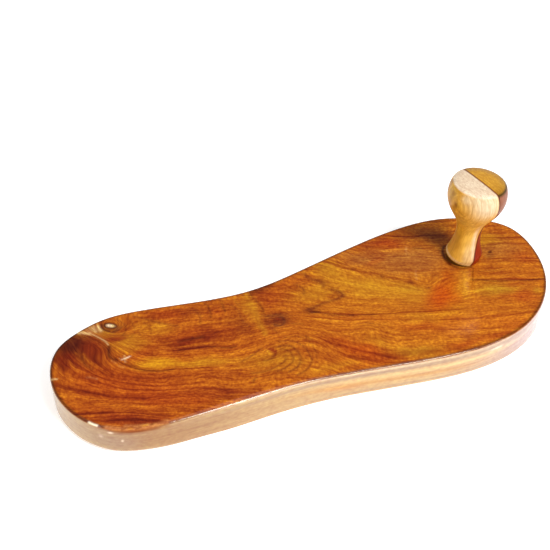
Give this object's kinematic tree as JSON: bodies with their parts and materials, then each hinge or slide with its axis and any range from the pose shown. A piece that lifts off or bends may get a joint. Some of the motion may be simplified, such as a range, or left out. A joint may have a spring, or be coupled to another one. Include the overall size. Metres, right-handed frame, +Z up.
{
  "type": "toe knob sandal",
  "caption": "Right-foot wooden sandal: a flat hourglass sole with softened edges, held on by a turned knob gripped between the first two toes.",
  "frame": {"origin": "on the ground, in the middle of the sole's box", "axes": "+X towards the toes along the sole, +Y towards the inner side of the foot, +Z up"},
  "size_m": [0.2602, 0.0958, 0.065],
  "materials": {
    "heartwood": "figured brown hardwood, clear gloss lacquer",
    "sapwood": "pale sapwood with a darker heartwood segment, clear gloss lacquer"
  },
  "bodies": {
    "root": {"sole": "heartwood", "toe_knob": "sapwood"}
  },
  "joints": []
}
